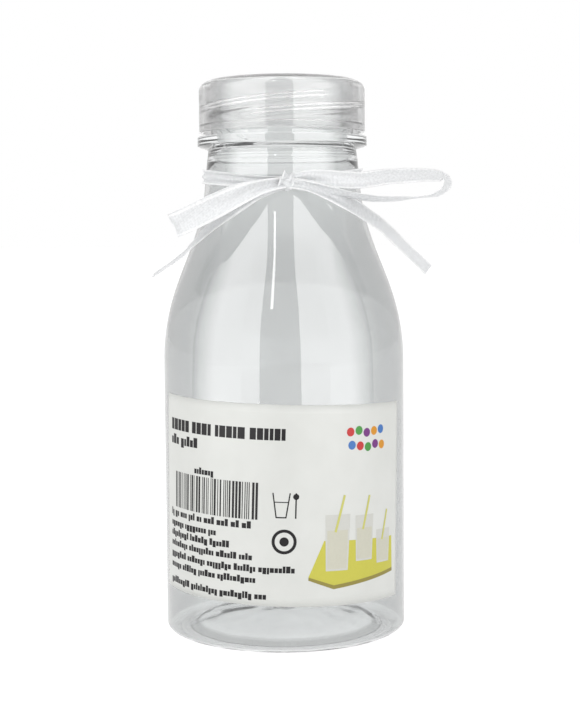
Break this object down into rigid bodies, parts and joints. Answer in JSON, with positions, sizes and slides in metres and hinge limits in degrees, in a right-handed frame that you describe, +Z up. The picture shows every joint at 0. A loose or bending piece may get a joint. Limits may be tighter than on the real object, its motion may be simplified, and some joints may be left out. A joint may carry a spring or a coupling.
{
  "type": "plastic milk bottle",
  "caption": "Small clear plastic bottle with sloping shoulders, screw cap, wrapped paper label and a ribbon bow round its neck.",
  "frame": {"origin": "centre of the base, on the plane that the bottle stands on", "axes": "+Z up along the bottle's axis to the cap; -Y towards the label and the bow, and +X to the right of them as a viewer sees them"},
  "size_m": [0.0766, 0.0635, 0.1437],
  "materials": {
    "clear_bottle": "clear blown PET, glossy",
    "clear_cap": "clear moulded plastic, slightly milky",
    "label_paper": "coated off-white sticker paper with flat print",
    "ribbon_fabric": "sheer white woven ribbon with denser edges"
  },
  "bodies": {
    "root": {"bottle": "clear_bottle", "cap": "clear_cap", "label": "label_paper", "ribbon": "ribbon_fabric"}
  },
  "joints": []
}
